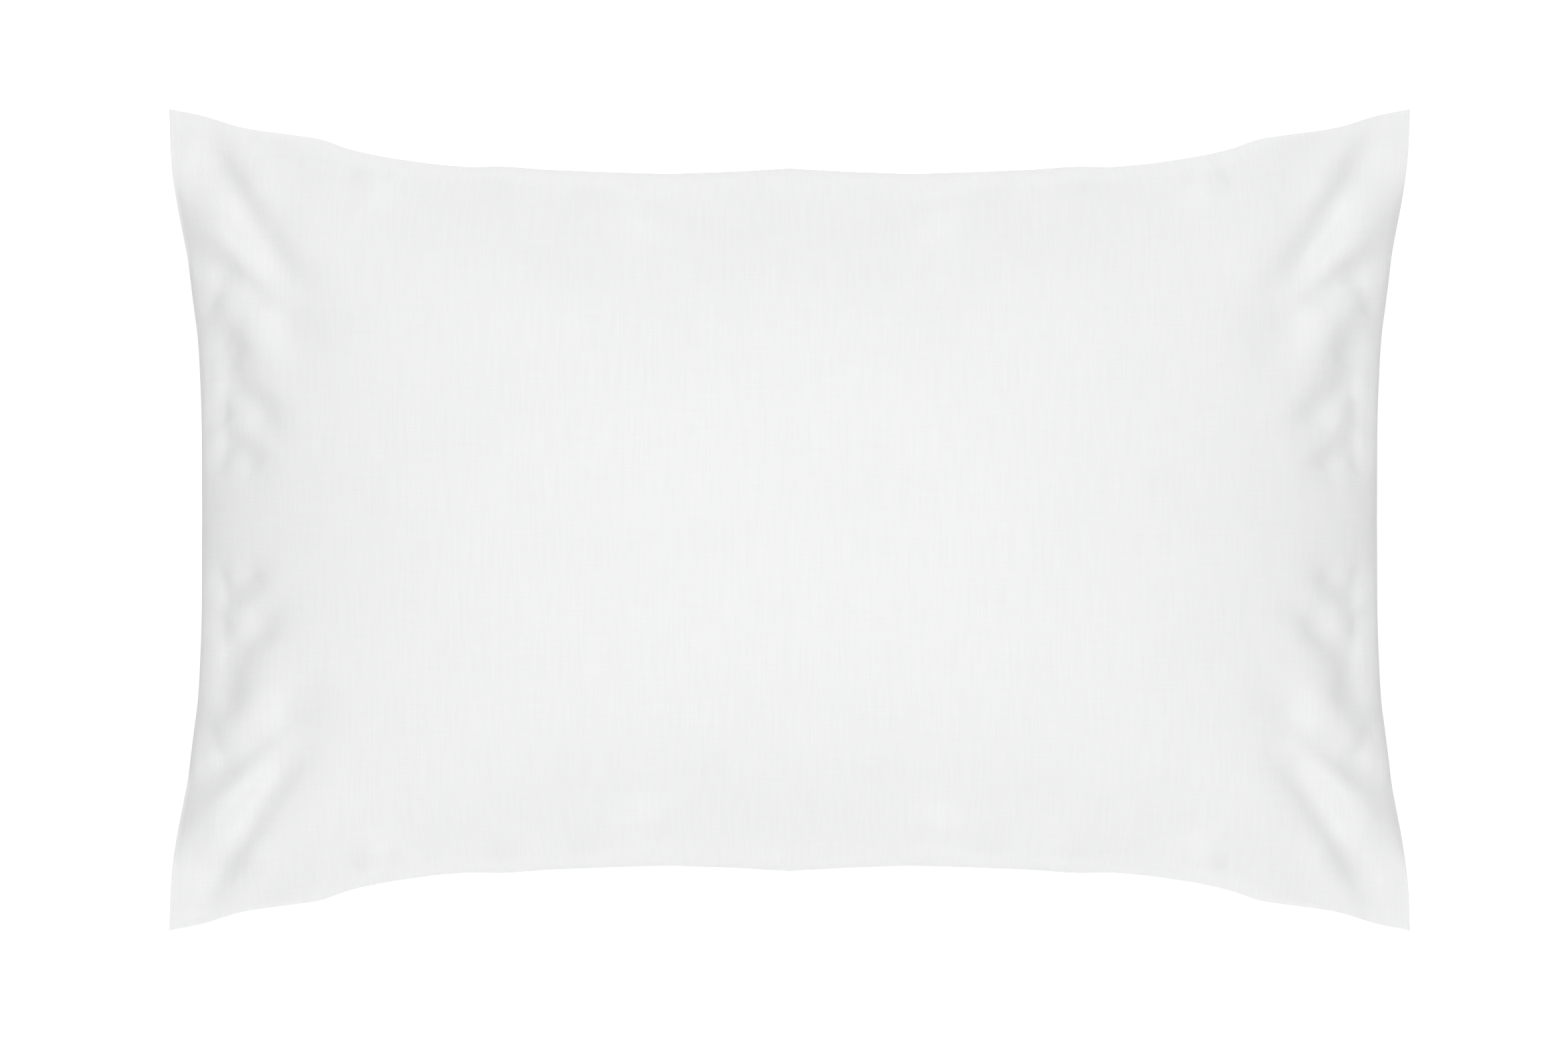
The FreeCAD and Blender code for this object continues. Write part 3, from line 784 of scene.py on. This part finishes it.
def batts():
    """Five carded batts that fill the ticking: each is a soft slab whose edge closes against the cloth."""
    above, below = Relief(upper, True), Relief(lower, False)
    rng = np.random.default_rng(7)
    turn = np.linspace(0, 2 * math.pi, 145)[:-1]
    shares = np.sin(np.linspace(0, math.pi / 2, 30))
    reach = 1 / ((np.abs(np.cos(turn)) / 318) ** 3.2 + (np.abs(np.sin(turn)) / 179) ** 3.2) ** (1 / 3.2)
    step = (FILL[1] - FILL[0]) / len(BATTS)
    for k, name in enumerate(BATTS):
        low, high = FILL[0] + k * step + 0.3, FILL[0] + (k + 1) * step - 0.3

        def room(r):
            x, y = r * np.cos(turn), r * np.sin(turn)
            return np.maximum(below(x, y) + 2.2, low), np.minimum(above(x, y) - 2.2, high)

        near, far = np.zeros_like(reach), reach.copy()  # halved until the slab is just thick enough
        for _ in range(14):
            middle = (near + far) / 2
            bottom, top = room(middle)
            thick = top - bottom > 1.0
            near, far = np.where(thick, middle, near), np.where(thick, far, middle)
        rings = [room(near * s) for s in shares]
        wave = rng.normal(size=(len(shares), len(turn), 2))
        for _ in range(3):
            wave = (wave + np.roll(wave, 1, 1) + np.roll(wave, -1, 1)) / 3
        upper_side, lower_side = [], []
        for s, (bottom, top), w in zip(shares, rings, wave):
            x, y = near * s * np.cos(turn), near * s * np.sin(turn)
            close = (1 - s**14) ** 0.5
            half, mid = (top - bottom) / 2 * (0.25 + 0.75 * close), (top + bottom) / 2
            half = np.maximum(half - 0.5 - 0.35 * np.abs(w[:, 0]), 0.3)
            upper_side.append(np.stack([x, y, mid + half], -1))
            lower_side.append(np.stack([x, y, mid - half], -1))
        count = len(turn)
        rows = upper_side[1:] + lower_side[:0:-1]
        points = np.concatenate([[upper_side[0].mean(0)], np.concatenate(rows), [lower_side[0].mean(0)]])
        faces = []
        for r in range(len(rows) - 1):
            a = 1 + r * count + np.arange(count)
            b = np.roll(a, -1)
            faces += np.stack([a, a + count, b + count, b], -1).tolist()
        first, last = 1 + np.arange(count), 1 + (len(rows) - 1) * count + np.arange(count)
        faces += [[0, a, b] for a, b in zip(first, np.roll(first, -1))]
        faces += [[len(points) - 1, b, a] for a, b in zip(last, np.roll(last, -1))]
        piece = make(f"carded_batt_{name}", points, faces, FIBRE, "insert", [f"fibre_batt_{name}"], "hollow_fibre")


batts()

# ---- studio ----------------------------------------------------------------------------------------------------


def floor():
    """A pale floor that is lit a little from below, as a packshot table is, so that it stays pale all round."""
    mesh = bpy.data.meshes.new("studio_floor")
    mesh.from_pydata([(-40, -40, 0), (40, -40, 0), (40, 40, 0), (-40, 40, 0)], [], [(0, 1, 2, 3)])
    n = Nodes("pale_floor")
    where = n.add("ShaderNodeTexCoord").outputs["Object"]
    n.plug("Base Color", n.between(n.noise(where, 3.0), (0.62, 0.62, 0.62), (0.64, 0.64, 0.64)))
    away = n.add("ShaderNodeVectorMath", {0: where}, operation="LENGTH").outputs["Value"]
    n.plug("Emission Strength", n.ramp(away, 1.2, 6.0, 0.50, 0.74))
    n.plain(Roughness=0.9, Specular_IOR_Level=0.1, Emission_Color=(1, 1, 1, 1))
    mesh.materials.append(n.material)
    made = bpy.data.objects.new("studio_floor", mesh)
    bpy.context.scene.collection.objects.link(made)


def softbox(name, place, size, power):
    light = bpy.data.lights.new(name, "AREA")
    light.shape = "RECTANGLE"
    light.size, light.size_y = size
    light.energy = power
    made = bpy.data.objects.new(name, light)
    made.location = place
    made.rotation_euler = (-Vector(place)).to_track_quat("-Z", "Y").to_euler()
    bpy.context.scene.collection.objects.link(made)


def studio():
    scene = bpy.context.scene
    scene.world = scene.world or bpy.data.worlds.new("studio")
    scene.world.use_nodes = True
    tree = scene.world.node_tree
    sky = tree.nodes.get("Background") or tree.nodes.new("ShaderNodeBackground")
    up = tree.nodes.new("ShaderNodeSeparateXYZ")
    band = tree.nodes.new("ShaderNodeMapRange")  # pale at the horizon, dim above it
    for socket, value in (("From Min", 0.04), ("From Max", 0.09), ("To Min", 0.62), ("To Max", 0.10)):
        band.inputs[socket].default_value = value
    tree.links.new(tree.nodes.new("ShaderNodeTexCoord").outputs["Generated"], up.inputs[0])
    tree.links.new(up.outputs["Z"], band.inputs["Value"])
    tree.links.new(band.outputs[0], sky.inputs[1])
    sky.inputs[0].default_value = (1, 1, 1, 1)
    softbox("front_softbox", (0, -3.2, 2.6), (2.8, 2.0), 88)
    softbox("rear_softbox", (0, 3.2, 2.6), (2.8, 2.0), 88)
    softbox("top_softbox", (0, 0, 6.0), (3.5, 3.5), 162)
    scene.view_settings.view_transform = "Standard"


def camera():
    """Straight above, framed as the photograph is."""
    lens = bpy.data.cameras.new("camera")
    lens.lens = 135.0
    lens.sensor_width = 36.0
    lens.clip_end = 60.0
    made = bpy.data.objects.new("camera", lens)
    wide = 0.9290
    made.location = (-0.0033, -0.0016, SEAM_HEIGHT * MM + wide * lens.lens / lens.sensor_width)
    bpy.context.scene.collection.objects.link(made)
    bpy.context.scene.camera = made


floor()
studio()
camera()
